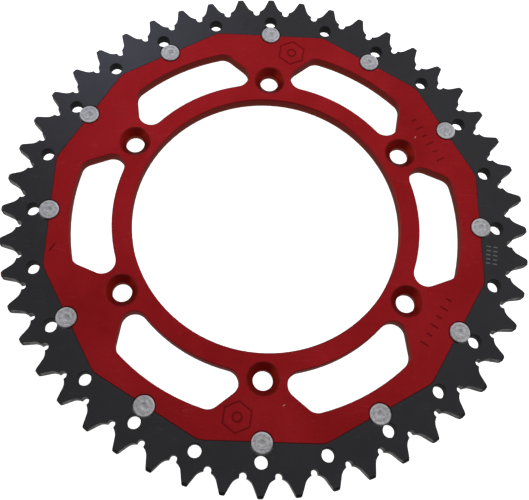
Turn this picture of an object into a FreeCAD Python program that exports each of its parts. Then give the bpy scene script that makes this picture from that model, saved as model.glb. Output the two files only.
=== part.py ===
import FreeCAD, Part
import math
import os

# Rear sprocket for a motorcycle, drive chain 520, in two pieces: a steel tooth ring riveted
# to an aluminium carrier.  Millimetres and degrees throughout.
# Frame: the sprocket lies flat.  Z is the axle line and points to the outer face, the one
# with the rivet heads.  The origin is the bore centre on the mounting face of the carrier.
# +Y passes through a tooth, a rivet and a bolt hole.

V = FreeCAD.Vector
FIRST = 90.0                    # direction of the first tooth, rivet, bolt hole and small hole

# ---- chain and tooth form ----
TEETH = 48
CHAIN_PITCH = 15.875            # 520 chain
ROLLER_DIA = 10.16
SEAT_CLEARANCE = 0.05           # seat radius less the roller radius
FLANK_ANGLE = 22.8              # flank against the centre line of its tooth
OUTSIDE_DIA = 248.5
TIP_CORNER_R = 0.5
TIP_CHAMFER_LONG = 1.1          # measured along the tooth
TIP_CHAMFER_DEEP = 0.9          # measured into its thickness, on both faces
MUD_NOTCH_WIDTH = 3.2
MUD_NOTCH_BOTTOM_R = 114.0      # from the axle line

# ---- thicknesses along Z ----
CARRIER_THICK = 6.5
RING_BACK = 0.5                 # the ring stands in from the mounting face
RING_THICK = 5.8
LAP_Z = 3.0                     # steel flange below, aluminium flange above

# ---- carrier ----
BORE_DIA = 127.0
BORE_CHAMFER = 0.5
STEP_DIA = 192.0                # the carrier has its full thickness inside this circle
SIDES = 12                      # outer edge, one side for each rivet
ACROSS_FLATS = 203.2
POLYGON_CORNER_R = 8.0
EDGE_CHAMFER = 0.3
EDGE_ROUND = 0.3                # outer edge of the carrier, on the outer face
JOINT_GAP = 0.05                # on each side of the joint line

BOLTS = 6
BOLT_CIRCLE_DIA = 150.0
BOLT_HOLE_DIA = 9.0             # M8 countersunk screws from the outer face
COUNTERSINK_DIA = 15.4          # 90 degree countersink

# ---- slots of the carrier, one between each pair of bolts ----
SLOT_INNER_R = 72.6
SLOT_OUTER_R = 92.1
SLOT_INNER_CORNER_R = 6.1
SLOT_INNER_CORNER_ANGLE = 17.65 # corner centre, from the middle line of the slot
SLOT_END_TILT = 21.2            # end line against the middle line of the slot
SLOT_OUTER_CORNER_R = 6.0

# ---- lightening holes of the ring ----
LIGHT_HOLES = 24
LIGHT_HOLE_DIA = 5.9
LIGHT_HOLE_CIRCLE_DIA = 219.4
LIGHT_HOLE_CHAMFER = 0.3

# ---- rivets ----
RIVETS = 12
RIVET_CIRCLE_DIA = 204.0
RIVET_HEAD_DIA = 9.2
RIVET_HEAD_SEAT = 5.4
RIVET_HEAD_TOP = 6.85
RIVET_RIM_WIDE = 0.35           # sloping rim of the head
RIVET_RIM_DEEP = 0.2
RIVET_POCKET_DIA = 10.4         # pocket for the head, cut across both pieces
RIVET_SHANK_DIA = 5.0
RIVET_TAIL_DIA = 7.4            # 90 degree tail, flush with the back of the ring
RIVET_FIT = 0.05                # radial gap around shank and tail
DIMPLE_DIA = 3.2
DIMPLE_DEPTH = 0.25

# ---- engraved marks on the outer faces: plain shapes with no meaning ----
MARK_DEPTH = 0.2
MARK_LINE = 0.8
BADGE_R = 7.2                   # hexagon, from its centre to its corners
BADGE_EYE_R = 2.4
BADGE_PLACE_R = 92.3
BADGE_ANGLE = -6.8              # from the first direction, and again half a turn on
TICK_LONG = 4.0
TICK_SHORT = 2.6
TICKS = 6
TICK_STEP = 4.8
TICK_ROW_R = 90.8
TICK_ROW_ANGLES = (30.0, -30.8)
RING_TICK = 2.2
RING_TICKS = 5
RING_TICK_STEP = 2.1
RING_TICK_ROW_R = (105.4, 108.6)
RING_TICK_ANGLE = -7.2

# ---- derived ----
RING_FRONT = RING_BACK + RING_THICK
TOOTH_STEP = 360.0 / TEETH
PITCH_R = CHAIN_PITCH / 2 / math.sin(math.radians(180.0 / TEETH))
SEAT_R = ROLLER_DIA / 2 + SEAT_CLEARANCE
TIP_R = OUTSIDE_DIA / 2
PAST = 1.0                      # how far a cutting body runs past a face


# ---- helpers ----
def polar(radius, angle, z=0.0):
    a = math.radians(angle)
    return V(radius * math.cos(a), radius * math.sin(a), z)


def arc(p, middle, q):
    return Part.Arc(p, middle, q).toShape()


def prism(edges, z0, z1):
    face = Part.Face(Part.Wire(Part.__sortEdges__(edges)))
    face.translate(V(0, 0, z0))
    return face.extrude(V(0, 0, z1 - z0))


def cylinder(radius, z0, z1, centre=V(0, 0, 0)):
    return Part.makeCylinder(radius, z1 - z0, V(centre.x, centre.y, z0), V(0, 0, 1))


def turned(points, centre=V(0, 0, 0)):
    """Solid of revolution around a line along Z, from (radius, z) points."""
    wire = Part.makePolygon([V(r, 0, z) for r, z in points + points[:1]])
    solid = Part.Face(wire).revolve(V(0, 0, 0), V(0, 0, 1), 360)
    solid.translate(V(centre.x, centre.y, 0))
    return solid


def drill(radius, z0, z1, centre=V(0, 0, 0), low_chamfer=0.0, high_chamfer=0.0):
    """Cutting body for a through hole between faces z0 and z1, with 45 degree chamfers."""
    points = [(0, z0 - PAST)]
    if low_chamfer:
        points += [(radius + low_chamfer + PAST, z0 - PAST), (radius, z0 + low_chamfer)]
    else:
        points += [(radius, z0 - PAST)]
    if high_chamfer:
        points += [(radius, z1 - high_chamfer), (radius + high_chamfer + PAST, z1 + PAST)]
    else:
        points += [(radius, z1 + PAST)]
    points += [(0, z1 + PAST)]
    return turned(points, centre)


def centres(count, circle_dia):
    return [polar(circle_dia / 2, FIRST + i * 360.0 / count) for i in range(count)]


def rounded_polygon(flat_r, z0, z1):
    """Regular prism with one flat at each rivet and rounded corners."""
    half = 180.0 / SIDES
    corner_r = flat_r / math.cos(math.radians(half))
    corners = [polar(corner_r, FIRST + (i + 0.5) * 360.0 / SIDES) for i in range(SIDES)]
    sides = [Part.makeLine(corners[i - 1], corners[i]) for i in range(SIDES)]
    body = prism(sides, z0, z1)
    upright = [e for e in body.Edges if abs(e.Vertexes[0].Z - e.Vertexes[-1].Z) > (z1 - z0) / 2]
    return body.makeFillet(POLYGON_CORNER_R, upright)


def level_edges(body, z, beyond=0.0, within=math.inf):
    """Edges in the plane at height z whose ends lie between two distances from the axle line."""
    found = []
    for e in body.Edges:
        reach = [math.hypot(v.X, v.Y) for v in e.Vertexes]
        level = e.BoundBox.ZLength < 1e-6 and abs(e.BoundBox.ZMin - z) < 1e-6
        if level and min(reach) > beyond and max(reach) < within:
            found.append(e)
    return found


# ---- engraved marks ----
def hexagon(radius, z0, z1):
    corners = [polar(radius, 60.0 * i) for i in range(6)]
    return prism([Part.makeLine(corners[i - 1], corners[i]) for i in range(6)], z0, z1)


def badge(face_z):
    """Grooves of a hexagon with a round eye, centred on the axle line."""
    floor, top = face_z - MARK_DEPTH, face_z + PAST
    rim = hexagon(BADGE_R, floor, top).cut(hexagon(BADGE_R - MARK_LINE, floor - PAST, top + PAST))
    eye = cylinder(BADGE_EYE_R, floor, top).cut(
        cylinder(BADGE_EYE_R - MARK_LINE, floor - PAST, top + PAST))
    return [rim, eye]


def tick_row(count, step, heights, row_r, angle, face_z):
    """Short upright lines side by side, on a straight row square to the given direction."""
    cuts = []
    for i in range(count):
        tall = heights[i % len(heights)]
        along = (i - (count - 1) / 2) * step
        tick = Part.makeBox(tall, MARK_LINE, MARK_DEPTH + PAST,
                            V(row_r - tall / 2, along - MARK_LINE / 2, face_z - MARK_DEPTH))
        tick.rotate(V(0, 0, 0), V(0, 0, 1), angle)
        cuts.append(tick)
    return cuts


# ---- tooth ring ----
def gap_edges(angle):
    """Outline of one tooth gap from tip to tip, and its two tip points."""
    lean = math.radians(FLANK_ANGLE + TOOTH_STEP / 2)
    half = MUD_NOTCH_WIDTH / 2

    # local frame: x across the gap, y outward from the axle line
    seat_end = V(SEAT_R * math.cos(lean), PITCH_R - SEAT_R * math.sin(lean), 0)
    run = V(math.sin(lean), math.cos(lean), 0)
    along = seat_end.dot(run)
    tip = seat_end + run * (math.sqrt(along ** 2 - seat_end.dot(seat_end) + TIP_R ** 2) - along)

    def seat_point(swing):
        return V(SEAT_R * math.sin(swing), PITCH_R - SEAT_R * math.cos(swing), 0)

    first_swing = math.asin(half / SEAT_R)
    seat_start = seat_point(first_swing)
    seat_mid = seat_point((first_swing + math.pi / 2 - lean) / 2)
    notch_end = V(half, MUD_NOTCH_BOTTOM_R + half, 0)

    def mirror(p):
        return V(-p.x, p.y, 0)

    edges = [arc(notch_end, V(0, MUD_NOTCH_BOTTOM_R, 0), mirror(notch_end))]
    for side in (lambda p: p, mirror):
        edges += [Part.makeLine(side(notch_end), side(seat_start)),
                  arc(side(seat_start), side(seat_mid), side(seat_end)),
                  Part.makeLine(side(seat_end), side(tip))]
    for e in edges:
        e.rotate(V(0, 0, 0), V(0, 0, 1), angle - 90)
    turn = FreeCAD.Rotation(V(0, 0, 1), angle - 90)
    return edges, turn.multVec(tip), turn.multVec(mirror(tip))


def tooth_blank():
    """Solid disc with the teeth, tips rounded in plan and chamfered on both faces."""
    edges, clockwise_tips, other_tips = [], [], []
    for i in range(TEETH):
        gap, near, far = gap_edges(FIRST + (i + 0.5) * TOOTH_STEP)
        edges += gap
        clockwise_tips.append(near)
        other_tips.append(far)
    for i in range(TEETH):
        edges.append(arc(other_tips[i - 1], polar(TIP_R, FIRST + i * TOOTH_STEP), clockwise_tips[i]))
    blank = prism(edges, RING_BACK, RING_FRONT)

    corners = [e for e in blank.Edges if e.BoundBox.ZLength > RING_THICK / 2
               and abs(math.hypot(e.Vertexes[0].X, e.Vertexes[0].Y) - TIP_R) < 1e-3]
    blank = blank.makeFillet(TIP_CORNER_R, corners)

    run_out = TIP_CHAMFER_DEEP * (1 + PAST / TIP_CHAMFER_LONG)
    envelope = turned([(0, RING_BACK), (TIP_R - TIP_CHAMFER_LONG, RING_BACK),
                       (TIP_R + PAST, RING_BACK + run_out), (TIP_R + PAST, RING_FRONT - run_out),
                       (TIP_R - TIP_CHAMFER_LONG, RING_FRONT), (0, RING_FRONT)])
    return blank.common(envelope)


def rivet_clearance(centre):
    """What the two pieces give up around one rivet."""
    shank_r = RIVET_SHANK_DIA / 2 + RIVET_FIT
    tail_r = RIVET_TAIL_DIA / 2 + RIVET_FIT
    tail_top = RING_BACK + tail_r - shank_r
    return turned([(0, RING_BACK - PAST), (tail_r + PAST, RING_BACK - PAST), (shank_r, tail_top),
                   (shank_r, RIVET_HEAD_SEAT), (RIVET_POCKET_DIA / 2, RIVET_HEAD_SEAT),
                   (RIVET_POCKET_DIA / 2, CARRIER_THICK + PAST), (0, CARRIER_THICK + PAST)], centre)


def make_ring():
    ring = tooth_blank()
    cuts = [rounded_polygon(ACROSS_FLATS / 2 + JOINT_GAP, LAP_Z, RING_FRONT + PAST),
            cylinder(STEP_DIA / 2 + 2 * JOINT_GAP, RING_BACK - PAST, LAP_Z + PAST)]
    cuts += [drill(LIGHT_HOLE_DIA / 2, RING_BACK, RING_FRONT, c, LIGHT_HOLE_CHAMFER, LIGHT_HOLE_CHAMFER)
             for c in centres(LIGHT_HOLES, LIGHT_HOLE_CIRCLE_DIA)]
    cuts += [rivet_clearance(c) for c in centres(RIVETS, RIVET_CIRCLE_DIA)]
    for row_r in RING_TICK_ROW_R:
        cuts += tick_row(RING_TICKS, RING_TICK_STEP, (RING_TICK,), row_r, RING_TICK_ANGLE, RING_FRONT)
    return ring.cut(cuts)


# ---- carrier ----
def slot_body(angle, z0, z1):
    """Body of one slot; its middle line lies along the given direction."""
    tilt = math.radians(SLOT_END_TILT)
    centre = polar(SLOT_INNER_R + SLOT_INNER_CORNER_R, SLOT_INNER_CORNER_ANGLE)
    inner_touch = polar(SLOT_INNER_R, SLOT_INNER_CORNER_ANGLE)
    outward = V(math.sin(tilt), math.cos(tilt), 0)
    line_touch = centre + outward * SLOT_INNER_CORNER_R
    bulge = (inner_touch - centre).normalize() + outward
    corner_mid = centre + bulge.normalize() * SLOT_INNER_CORNER_R

    # the end line runs out to a small corner that also touches the outer arc
    run = V(math.cos(tilt), -math.sin(tilt), 0)
    start = line_touch - outward * SLOT_OUTER_CORNER_R
    reach_r = SLOT_OUTER_R - SLOT_OUTER_CORNER_R
    along = start.dot(run)
    small = start + run * (math.sqrt(along ** 2 - start.dot(start) + reach_r ** 2) - along)
    small_line = small + outward * SLOT_OUTER_CORNER_R
    small_arc = small + V(small).normalize() * SLOT_OUTER_CORNER_R
    small_bulge = outward + V(small).normalize()
    small_mid = small + small_bulge.normalize() * SLOT_OUTER_CORNER_R

    def mirror(p):
        return V(p.x, -p.y, 0)

    edges = [arc(inner_touch, V(SLOT_INNER_R, 0, 0), mirror(inner_touch)),
             arc(small_arc, V(SLOT_OUTER_R, 0, 0), mirror(small_arc))]
    for side in (lambda p: p, mirror):
        edges += [arc(side(inner_touch), side(corner_mid), side(line_touch)),
                  Part.makeLine(side(line_touch), side(small_line)),
                  arc(side(small_line), side(small_mid), side(small_arc))]
    body = prism(edges, z0, z1)
    body.rotate(V(0, 0, 0), V(0, 0, 1), angle)
    return body


def make_carrier():
    body = cylinder(STEP_DIA / 2, 0, CARRIER_THICK)
    body = body.fuse(rounded_polygon(ACROSS_FLATS / 2 - JOINT_GAP, LAP_Z, CARRIER_THICK))
    body = body.removeSplitter()
    body = body.cut([slot_body(FIRST + (i + 0.5) * 360.0 / BOLTS, -PAST, CARRIER_THICK + PAST)
                     for i in range(BOLTS)])
    outside = ACROSS_FLATS / 2 - 2 * JOINT_GAP
    body = body.makeFillet(EDGE_ROUND, level_edges(body, CARRIER_THICK, beyond=outside))
    body = body.makeChamfer(EDGE_CHAMFER, level_edges(body, CARRIER_THICK, within=STEP_DIA / 2))
    body = body.makeChamfer(EDGE_CHAMFER, level_edges(body, 0.0))

    cuts = [drill(BORE_DIA / 2, 0, CARRIER_THICK, V(0, 0, 0), BORE_CHAMFER, BORE_CHAMFER)]
    sink = (COUNTERSINK_DIA - BOLT_HOLE_DIA) / 2
    cuts += [drill(BOLT_HOLE_DIA / 2, 0, CARRIER_THICK, c, EDGE_CHAMFER, sink)
             for c in centres(BOLTS, BOLT_CIRCLE_DIA)]
    cuts += [rivet_clearance(c) for c in centres(RIVETS, RIVET_CIRCLE_DIA)]
    for half_turn in (0, 180):
        for piece in badge(CARRIER_THICK):
            piece.translate(polar(BADGE_PLACE_R, 0))
            piece.rotate(V(0, 0, 0), V(0, 0, 1), FIRST + BADGE_ANGLE + half_turn)
            cuts.append(piece)
    for angle in TICK_ROW_ANGLES:
        cuts += tick_row(TICKS, TICK_STEP, (TICK_LONG, TICK_SHORT), TICK_ROW_R, angle, CARRIER_THICK)
    return body.cut(cuts)


# ---- rivets ----
def make_rivet(centre):
    head_r, shank_r, tail_r = RIVET_HEAD_DIA / 2, RIVET_SHANK_DIA / 2, RIVET_TAIL_DIA / 2
    dimple_r = DIMPLE_DIA / 2
    sphere_r = (dimple_r ** 2 + DIMPLE_DEPTH ** 2) / 2 / DIMPLE_DEPTH
    body = turned([(0, RING_BACK), (tail_r, RING_BACK), (shank_r, RING_BACK + tail_r - shank_r),
                   (shank_r, RIVET_HEAD_SEAT), (head_r, RIVET_HEAD_SEAT),
                   (head_r, RIVET_HEAD_TOP - RIVET_RIM_DEEP),
                   (head_r - RIVET_RIM_WIDE, RIVET_HEAD_TOP), (0, RIVET_HEAD_TOP)], centre)
    ball = Part.makeSphere(sphere_r, V(centre.x, centre.y, RIVET_HEAD_TOP - DIMPLE_DEPTH + sphere_r))
    return body.cut(ball)


# ---- write the pieces ----
nodes = {"carrier": make_carrier(), "tooth_ring": make_ring()}
for number, centre in enumerate(centres(RIVETS, RIVET_CIRCLE_DIA), 1):
    nodes["rivet_%02d" % number] = make_rivet(centre)

os.makedirs("parts", exist_ok=True)
for name, shape in nodes.items():
    solid = shape.Solids[0]
    print("%-12s solids %d  valid %s  faces %4d  volume %9.1f mm3  z %.2f..%.2f"
          % (name, len(shape.Solids), shape.isValid(), len(solid.Faces), solid.Volume,
             solid.BoundBox.ZMin, solid.BoundBox.ZMax))
    solid.exportStep("parts/%s.step" % name)
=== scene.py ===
import math

import bpy
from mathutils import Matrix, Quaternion, Vector


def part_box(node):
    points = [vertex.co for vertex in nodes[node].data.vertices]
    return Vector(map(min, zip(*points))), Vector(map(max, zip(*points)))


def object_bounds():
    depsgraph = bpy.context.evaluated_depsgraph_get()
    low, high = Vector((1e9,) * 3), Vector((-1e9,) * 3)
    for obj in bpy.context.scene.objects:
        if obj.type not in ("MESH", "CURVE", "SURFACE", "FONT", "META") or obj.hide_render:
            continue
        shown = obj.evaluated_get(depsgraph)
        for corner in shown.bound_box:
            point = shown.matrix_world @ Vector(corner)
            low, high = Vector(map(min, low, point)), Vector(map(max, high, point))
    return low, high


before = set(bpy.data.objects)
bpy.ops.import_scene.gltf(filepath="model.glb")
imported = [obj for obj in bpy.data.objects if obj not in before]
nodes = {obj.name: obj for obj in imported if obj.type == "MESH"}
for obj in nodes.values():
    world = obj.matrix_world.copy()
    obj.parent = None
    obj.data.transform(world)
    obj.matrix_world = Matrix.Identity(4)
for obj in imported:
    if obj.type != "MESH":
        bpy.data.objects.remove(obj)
cad_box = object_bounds()

MM = 0.001


# ---- small helpers for node materials ----
class Nodes:
    """Short names for the nodes of one tree, fed by nodes or fixed values."""

    def __init__(self, tree, position):
        self.tree = tree
        self.position = position
        self.x, self.y, self.z = self.split(position)

    def node(self, kind, **settings):
        made = self.tree.nodes.new(kind)
        for key, value in settings.items():
            setattr(made, key, value)
        return made

    def feed(self, socket, value):
        if isinstance(value, bpy.types.NodeSocket):
            self.tree.links.new(value, socket)
        else:
            socket.default_value = value

    def split(self, vector):
        made = self.node("ShaderNodeSeparateXYZ")
        self.feed(made.inputs[0], vector)
        return made.outputs

    def math(self, operation, *values, clamp=False):
        made = self.node("ShaderNodeMath", operation=operation, use_clamp=clamp)
        for socket, value in zip(made.inputs, values):
            self.feed(socket, value)
        return made.outputs[0]

    def radius(self, x=0.0, y=0.0):
        """Distance in metres from a line along Z."""
        across = self.math("SUBTRACT", self.x, x)
        along = self.math("SUBTRACT", self.y, y)
        squares = self.math("ADD", self.math("MULTIPLY", across, across),
                            self.math("MULTIPLY", along, along))
        return self.math("SQRT", squares)

    def band(self, value, low, high, out_low=0.0, out_high=1.0):
        """Smooth step from one level to another while the value runs from low to high."""
        made = self.node("ShaderNodeMapRange", interpolation_type="SMOOTHSTEP")
        limits = (("From Min", low), ("From Max", high), ("To Min", out_low), ("To Max", out_high))
        for key, amount in limits:
            made.inputs[key].default_value = amount
        self.feed(made.inputs["Value"], value)
        return made.outputs["Result"]

    def window(self, value, start, full, leave, end):
        """Smooth rise from start to full and smooth fall from leave to end."""
        return self.all_of(self.band(value, start, full), self.band(value, leave, end, 1.0, 0.0))

    def linear(self, value, low, high):
        made = self.node("ShaderNodeMapRange")
        made.inputs["From Min"].default_value = low
        made.inputs["From Max"].default_value = high
        self.feed(made.inputs["Value"], value)
        return made.outputs["Result"]

    def toward(self, direction):
        """Cosine between the position, taken as a direction, and a fixed direction."""
        made = self.node("ShaderNodeVectorMath", operation="DOT_PRODUCT")
        self.feed(made.inputs[0], self.position)
        made.inputs[1].default_value = direction
        return made.outputs["Value"]

    def all_of(self, *masks):
        result = masks[0]
        for mask in masks[1:]:
            result = self.math("MULTIPLY", result, mask)
        return result

    def shifted(self, origin):
        made = self.node("ShaderNodeVectorMath", operation="SUBTRACT")
        self.feed(made.inputs[0], self.position)
        made.inputs[1].default_value = origin
        return made.outputs[0]

    def stretched(self, angle, along, across):
        """Object coordinates turned about Z, with a scale for each direction."""
        made = self.node("ShaderNodeMapping")
        made.inputs["Rotation"].default_value = (0, 0, math.radians(angle))
        made.inputs["Scale"].default_value = (along, across, across)
        self.feed(made.inputs["Vector"], self.position)
        return made.outputs["Vector"]

    def noise(self, scale, detail=4.0, roughness=0.55, vector=None):
        made = self.node("ShaderNodeTexNoise", noise_dimensions="3D")
        made.inputs["Scale"].default_value = scale
        made.inputs["Detail"].default_value = detail
        made.inputs["Roughness"].default_value = roughness
        self.feed(made.inputs["Vector"], vector or self.position)
        return made.outputs["Fac"]

    def hairlines(self, angle, spacing, length, patch):
        """Fine scratches roughly along one direction, broken up into patches."""
        field = self.noise(1.0, detail=1.0, vector=self.stretched(angle, 1 / length, 1 / spacing))
        off_centre = self.math("ABSOLUTE", self.math("SUBTRACT", field, 0.5))
        line = self.band(off_centre, 0.004, 0.02, 1.0, 0.0)
        return self.all_of(line, self.band(self.noise(1 / patch, detail=2.0), 0.56, 0.66))

    def specks(self, spacing, size, share):
        """Small round dots: size is a part of the spacing, share is how many cells have one."""
        made = self.node("ShaderNodeTexVoronoi", feature="F1")
        made.inputs["Scale"].default_value = 1 / spacing
        self.feed(made.inputs["Vector"], self.position)
        chance = self.node("ShaderNodeSeparateColor")
        self.feed(chance.inputs[0], made.outputs["Color"])
        chosen = self.math("LESS_THAN", chance.outputs[0], share)
        return self.all_of(chosen, self.band(made.outputs["Distance"], size * 0.6, size, 1.0, 0.0))

    def ramp(self, factor, *stops):
        """Stops are (position, colour or grey)."""
        made = self.node("ShaderNodeValToRGB")
        elements = made.color_ramp.elements
        while len(elements) < len(stops):
            elements.new(0.5)
        for element, (place, value) in zip(elements, stops):
            element.position = place
            grey = isinstance(value, (int, float))
            element.color = (value, value, value, 1) if grey else (*value, 1)
        self.feed(made.inputs["Fac"], factor)
        return made.outputs["Color"]

    def mix(self, factor, low, high, blend="MIX"):
        made = self.node("ShaderNodeMix", data_type="RGBA", blend_type=blend)
        self.feed(made.inputs["Factor"], factor)
        for socket, value in ((made.inputs[6], low), (made.inputs[7], high)):
            is_colour = isinstance(value, tuple)
            self.feed(socket, (*value, 1) if is_colour else value)
        return made.outputs[2]

    def layers(self, colour, *stains):
        """The colour under (mask, amount, tint) stains, the last one on top."""
        for mask, amount, tint in stains:
            colour = self.mix(self.math("MULTIPLY", mask, amount), colour, tint)
        return colour

    def blend(self, factor, low, high):
        """Plain number that runs from low to high with the factor."""
        made = self.node("ShaderNodeMix", data_type="FLOAT")
        for socket, value in zip(made.inputs[:1] + made.inputs[2:4], (factor, low, high)):
            self.feed(socket, value)
        return made.outputs[0]

    def sum(self, *weighted):
        """Weighted sum of (value, weight) pairs."""
        total = None
        for value, weight in weighted:
            term = self.math("MULTIPLY", value, weight)
            total = term if total is None else self.math("ADD", total, term)
        return total


class Shader(Nodes):
    """A Principled material with the position and the upward part of the normal at hand."""

    def __init__(self, name):
        self.material = bpy.data.materials.new(name)
        self.material.use_nodes = True
        tree = self.material.node_tree
        self.bsdf = tree.nodes["Principled BSDF"]
        coordinates = tree.nodes.new("ShaderNodeTexCoord")
        super().__init__(tree, coordinates.outputs["Object"])
        self.facing_up = self.split(coordinates.outputs["Normal"])[2]

    def set(self, **inputs):
        for key, value in inputs.items():
            self.feed(self.bsdf.inputs[key.replace("_", " ")], value)

    def nick(self, x, y, angle, length, width):
        """One straight mark on the outer face; its centre is given in metres."""
        turn = math.radians(angle)
        across_x = self.math("SUBTRACT", self.x, x)
        across_y = self.math("SUBTRACT", self.y, y)
        along = self.math("ADD", self.math("MULTIPLY", across_x, math.cos(turn)),
                          self.math("MULTIPLY", across_y, math.sin(turn)))
        aside = self.math("SUBTRACT", self.math("MULTIPLY", across_y, math.cos(turn)),
                          self.math("MULTIPLY", across_x, math.sin(turn)))
        ends = self.band(self.math("ABSOLUTE", along), length * 0.35, length * 0.5, 1.0, 0.0)
        sides = self.band(self.math("ABSOLUTE", aside), width * 0.25, width * 0.6, 1.0, 0.0)
        return self.all_of(ends, sides, self.band(self.facing_up, 0.8, 0.95))

    def finish_surface(self, height, distance, edge_radius):
        """Bump from a height in units of the distance, over softly rounded edges."""
        rounded = self.node("ShaderNodeBevel", samples=4)
        rounded.inputs["Radius"].default_value = edge_radius
        made = self.node("ShaderNodeBump")
        made.inputs["Strength"].default_value = 1.0
        made.inputs["Distance"].default_value = distance
        self.feed(made.inputs["Height"], height)
        self.feed(made.inputs["Normal"], rounded.outputs[0])
        self.set(Normal=made.outputs["Normal"])


# ---- materials ----
CARRIER_FACE_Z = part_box("carrier")[1].z
RING_FACE_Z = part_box("tooth_ring")[1].z
GROOVE = 0.2 * MM               # depth of the engraved marks
FLAT = (0.85, 0.98)             # upward part of the normal, from sloping to flat
GOLDEN_ANGLE = 137.5            # degrees, turns each rivet's wear, painted shade and painted highlight another way
PALE_CHIPS = ((72.8 * MM, 46.5 * MM, 60), (9.2 * MM, -86.0 * MM, 35))   # x, y, angle in degrees
CHIP_SIZE = (1.2 * MM, 0.4 * MM)
DARK_CUT = (-98.3 * MM, -18.3 * MM, 59)
CUT_SIZE = (5.4 * MM, 0.6 * MM)
TOOTH_WALLS = (113.2 * MM, 113.7 * MM, 122.6 * MM, 123.6 * MM)          # from the axle line
RING_MARKS = (103.5 * MM, 104.0 * MM, 110.0 * MM, 110.5 * MM)


def red_anodised():
    """Satin red anodising on blasted aluminium, with painted shade in the engraving, browner cut walls
    with a painted floor reflection toward the bottom, and a painted highlight, partly edge wear, along
    the top edges.
    """
    s = Shader("red_anodised")
    face = s.band(s.facing_up, *FLAT)
    slope = s.window(s.facing_up, 0.3, 0.5, 0.85, 0.97)
    # painted highlight, partly edge wear: the top of the edge slopes is coloured a lighter red
    edge_wear_and_highlight = s.all_of(slope, s.band(s.z, CARRIER_FACE_Z - 0.6 * MM, CARRIER_FACE_Z - 0.4 * MM))
    wall = s.band(s.math("ABSOLUTE", s.facing_up), 0.2, 0.5, 1.0, 0.0)
    # painted shade: the engraving grooves in the face are coloured dark red
    sunk = s.band(s.z, CARRIER_FACE_Z - 0.6 * GROOVE, CARRIER_FACE_Z - 0.3 * GROOVE, 1.0, 0.0)
    engraving_shade = s.all_of(face, sunk)

    cloud = s.noise(38, detail=5.0)
    grain = s.noise(1900, detail=3.0, roughness=0.7)
    scuffs = s.math("MAXIMUM", s.hairlines(24, 0.9 * MM, 26 * MM, 14 * MM),
                    s.hairlines(-52, 1.1 * MM, 18 * MM, 11 * MM))
    dust = s.specks(4.2 * MM, 0.045, 0.22)
    chips = s.math("MAXIMUM", *(s.nick(*place, *CHIP_SIZE) for place in PALE_CHIPS))
    cut = s.nick(*DARK_CUT, *CUT_SIZE)

    colour = s.ramp(cloud, (0.30, (0.265, 0.0066, 0.0084)), (0.50, (0.312, 0.0088, 0.0114)),
                    (0.70, (0.355, 0.0118, 0.0156)))
    colour = s.mix(s.band(grain, 0.35, 0.65, 0.0, 0.24), colour, (0.160, 0.0036, 0.0044))
    # painted light on the cut walls: lighter toward the bottom as a reflection of the floor, a little
    # lighter again at the top
    wall_red_and_floor_reflection = s.ramp(s.linear(s.z, 0.0, CARRIER_FACE_Z), (0.05, (0.660, 0.1400, 0.0800)),
                     (0.30, (0.430, 0.0520, 0.0230)), (0.60, (0.360, 0.0310, 0.0140)),
                     (0.95, (0.480, 0.0250, 0.0180)))
    colour = s.layers(colour, (slope, 0.8, (0.340, 0.0140, 0.0070)))
    colour = s.mix(s.all_of(wall, s.blend(cloud, 0.8, 1.0)), colour, wall_red_and_floor_reflection)
    colour = s.layers(colour,
                      (edge_wear_and_highlight, 0.45, (0.46, 0.040, 0.050)),
                      (scuffs, 0.14, (0.50, 0.070, 0.085)),
                      (dust, 0.40, (0.55, 0.23, 0.22)),
                      (chips, 0.7, (0.62, 0.42, 0.40)),
                      (cut, 0.9, (0.030, 0.0020, 0.0020)),
                      (engraving_shade, 0.55, (0.085, 0.0030, 0.0035)))

    rough = s.sum((cloud, 0.14), (grain, 0.10), (scuffs, -0.06), (wall, 0.12), (1.0, 0.27))
    height = s.sum((grain, 0.5), (s.noise(5200, detail=2.0), 0.35), (scuffs, -0.5), (cut, -1.0))
    s.set(Base_Color=colour, Metallic=0.92, Roughness=rough)
    s.finish_surface(height, 0.02 * MM, 0.2 * MM)
    return s.material


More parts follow.
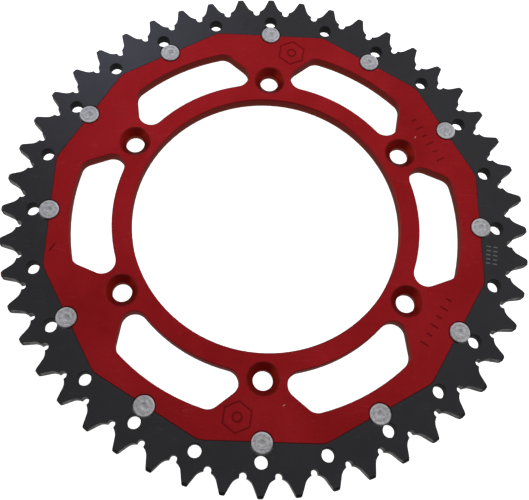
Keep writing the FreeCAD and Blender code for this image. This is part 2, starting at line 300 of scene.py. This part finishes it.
def black_steel():
    """Glossy blackened steel with a faint blue cast; the tooth walls are grey steel, partly worn bare
    and partly a painted glint.
    """
    s = Shader("black_steel")
    wall = s.band(s.math("ABSOLUTE", s.facing_up), 0.25, 0.55, 1.0, 0.0)
    teeth = s.window(s.radius(), *TOOTH_WALLS)
    sunk = s.band(s.z, RING_FACE_Z - 0.6 * GROOVE, RING_FACE_Z - 0.3 * GROOVE, 1.0, 0.0)
    marked = s.all_of(s.band(s.facing_up, *FLAT), sunk, s.window(s.radius(), *RING_MARKS))

    cloud = s.noise(30, detail=4.0)
    hue = s.noise(70, detail=3.0)
    grain = s.noise(2100, detail=3.0, roughness=0.7)
    patchy = s.band(s.noise(420, detail=3.0), 0.38, 0.62)
    scuffs = s.math("MAXIMUM", s.hairlines(38, 0.9 * MM, 12 * MM, 9 * MM),
                    s.hairlines(-65, 1.0 * MM, 10 * MM, 8 * MM))

    colour = s.ramp(hue, (0.32, (0.0165, 0.0165, 0.0165)), (0.50, (0.0200, 0.0195, 0.0200)),
                    (0.62, (0.0215, 0.0195, 0.0225)), (0.72, (0.0190, 0.0195, 0.0205)))
    colour = s.mix(s.band(cloud, 0.35, 0.65, 0.0, 0.35), colour, (0.0120, 0.0125, 0.0130))
    colour = s.mix(s.band(grain, 0.35, 0.65, 0.0, 0.40), colour, (0.0080, 0.0080, 0.0085))
    colour = s.layers(colour, (scuffs, 0.12, (0.12, 0.12, 0.125)))
    # partly wear, partly painted glint: the tooth walls turn light grey metallic steel
    bare_steel_and_glint = s.all_of(teeth, wall, s.blend(patchy, 0.35, 1.0))
    colour = s.mix(bare_steel_and_glint, colour, (0.56, 0.55, 0.54))
    colour = s.layers(colour, (marked, 0.8, (0.22, 0.22, 0.23)))

    rough = s.sum((cloud, 0.06), (grain, 0.08), (bare_steel_and_glint, 0.10), (wall, 0.3), (1.0, 0.15))
    height = s.sum((grain, 0.5), (s.noise(5600, detail=2.0), 0.3), (scuffs, -0.4))
    s.set(Base_Color=colour, Metallic=s.math("MULTIPLY", bare_steel_and_glint, 0.9), Roughness=rough,
          Specular_IOR_Level=0.3, Specular_Tint=(0.96, 0.95, 1.0, 1))
    s.finish_surface(height, 0.008 * MM, 0.2 * MM)
    return s.material


def rivet_steel(name, centre, turn):
    """Pressed rivet head: mottled, with a worn ring, painted shade in the dimple and across the head,
    and a painted highlight on the rim at one side.
    """
    s = Shader("steel_" + name)
    s.x, s.y, s.z = s.split(s.shifted(centre))
    out = s.radius()
    grown = s.math("ADD", out, s.math("MULTIPLY", s.noise(450, detail=3.0), 1.2 * MM))
    mottle = s.noise(620, detail=4.0, roughness=0.65, vector=s.stretched(turn, 1.0, 1.4))
    grain = s.noise(3200, detail=2.0)
    toward_lit_side = s.math("ADD", s.math("MULTIPLY", s.x, math.cos(math.radians(turn))),
                  s.math("MULTIPLY", s.y, math.sin(math.radians(turn))))
    off_centre = s.math("SUBTRACT", grown, s.math("MULTIPLY", toward_lit_side, 0.3))
    # painted shade: the dimple is coloured darker, shifted to one side
    sunk = s.band(off_centre, 1.0 * MM, 1.9 * MM, 1.0, 0.0)
    worn_ring = s.window(grown, 3.2 * MM, 3.6 * MM, 3.8 * MM, 4.3 * MM)
    # painted highlight: the rim is coloured lighter on the lit side
    rim_highlight = s.all_of(s.band(out, 3.9 * MM, 4.3 * MM), s.band(s.math("ADD", toward_lit_side, out), 1.5 * MM, 5.5 * MM))
    scuffs = s.hairlines(turn + 20, 0.7 * MM, 5 * MM, 4 * MM)

    colour = s.ramp(mottle, (0.28, (0.22, 0.22, 0.22)), (0.46, (0.47, 0.47, 0.47)),
                    (0.72, (0.74, 0.74, 0.75)))
    colour = s.mix(s.band(grain, 0.35, 0.68, 0.0, 0.30), colour, (0.28, 0.28, 0.28))
    # painted shade: the head darkens away from its lit side
    colour = s.mix(s.band(toward_lit_side, -4.5 * MM, 4.5 * MM, 0.22, 0.0), colour, (0.30, 0.295, 0.29))
    colour = s.layers(colour,
                      (sunk, 0.32, (0.20, 0.20, 0.205)),
                      (worn_ring, 0.30, (0.22, 0.22, 0.225)),
                      (rim_highlight, 0.50, (0.80, 0.80, 0.81)),
                      (scuffs, 0.3, (0.70, 0.70, 0.71)))

    rough = s.sum((mottle, 0.22), (grain, 0.12), (1.0, 0.27))
    height = s.sum((mottle, 1.0), (grain, 0.4), (worn_ring, -0.6), (scuffs, -0.3))
    s.set(Base_Color=colour, Metallic=0.95, Roughness=rough)
    s.finish_surface(height, 0.05 * MM, 0.12 * MM)
    return s.material


def paint(node, material):
    node.data.materials.clear()
    node.data.materials.append(material)


paint(nodes["carrier"], red_anodised())
paint(nodes["tooth_ring"], black_steel())
rivets = sorted(name for name in nodes if name.startswith("rivet"))
for number, name in enumerate(rivets):
    low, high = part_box(name)
    paint(nodes[name], rivet_steel(name, (low + high) / 2, number * GOLDEN_ANGLE))


# ---- camera ----
CAMERA_PLACE = Vector((-21.2, -145.3, 381.6)) * MM
CAMERA_AIM = Vector((-7.7, 16.8, 3.0)) * MM
CAMERA_ROLL = 6.86              # degrees
CAMERA_LENS = 58.15             # millimetres
CAMERA_SHIFT = (0.0255, -0.117)
SENSOR_WIDTH = 36.0             # millimetres
NEAR_CLIP = 10 * MM


def make_camera():
    camera = bpy.data.objects.new("camera", bpy.data.cameras.new("camera"))
    bpy.context.collection.objects.link(camera)
    camera.data.sensor_width = SENSOR_WIDTH
    camera.data.lens = CAMERA_LENS
    camera.data.shift_x, camera.data.shift_y = CAMERA_SHIFT
    camera.data.clip_start = NEAR_CLIP
    camera.location = CAMERA_PLACE
    look = (CAMERA_AIM - CAMERA_PLACE).to_track_quat("-Z", "Y")
    camera.rotation_mode = "QUATERNION"
    camera.rotation_quaternion = look @ Quaternion((0, 0, 1), math.radians(CAMERA_ROLL))
    bpy.context.scene.camera = camera


make_camera()


# ---- floor and light ----
FLOOR_DROP = 30 * MM
FLOOR_SIZE = 60.0
FLOOR_GLOW = 0.95
KEY_DIRECTION = Vector((0.35, 0.60, 0.72)).normalized()
LIGHT_FROM_BELOW = (0.25, 0.246, 0.240)
SOFTBOX_LIGHT = (2.20, 2.30, 3.20)
SIDE_LIGHT = (0.55, 0.54, 0.53)


def make_floor():
    """A plain white floor below the part; it takes no part in lighting the metal."""
    bpy.ops.mesh.primitive_plane_add(size=FLOOR_SIZE, location=(0, 0, cad_box[0].z - FLOOR_DROP))
    floor = bpy.context.object
    floor.name = "floor"
    s = Shader("white_floor")
    s.set(Base_Color=(0.9, 0.9, 0.9, 1), Roughness=0.9,
          Emission_Color=(1, 1, 1, 1), Emission_Strength=FLOOR_GLOW)
    floor.data.materials.append(s.material)
    floor.visible_diffuse = False
    floor.visible_glossy = False


def make_world():
    """Soft studio light: a broad key behind on the right, a cool softbox behind on the left, and a
    dim strip at the left."""
    world = bpy.data.worlds.new("studio")
    bpy.context.scene.world = world
    world.use_nodes = True
    tree = world.node_tree
    background = tree.nodes["Background"]
    n = Nodes(tree, tree.nodes.new("ShaderNodeTexCoord").outputs["Generated"])

    light = n.ramp(n.linear(n.toward(KEY_DIRECTION), -1.0, 1.0),
                   (0.00, (0.11, 0.105, 0.10)), (0.35, (0.13, 0.125, 0.12)), (0.62, (0.28, 0.275, 0.27)),
                   (0.86, (0.62, 0.62, 0.63)), (0.93, (0.74, 0.74, 0.77)), (1.00, (1.02, 1.02, 1.08)))
    below = n.band(n.z, -0.30, 0.02, 1.0, 0.0)
    light = n.mix(below, light, LIGHT_FROM_BELOW)
    softbox = n.all_of(n.window(n.x, -0.220, -0.185, -0.14, 0.03), n.window(n.y, 0.40, 0.50, 0.60, 0.68),
                       n.band(n.z, 0.0, 0.3))
    light = n.mix(softbox, light, SOFTBOX_LIGHT, blend="ADD")
    side = n.all_of(n.band(n.x, -0.85, -0.60, 1.0, 0.0), n.window(n.z, -0.45, -0.15, 0.35, 0.6))
    light = n.mix(side, light, SIDE_LIGHT, blend="ADD")
    n.feed(background.inputs["Color"], light)


make_floor()
make_world()
bpy.context.scene.view_settings.view_transform = "Standard"
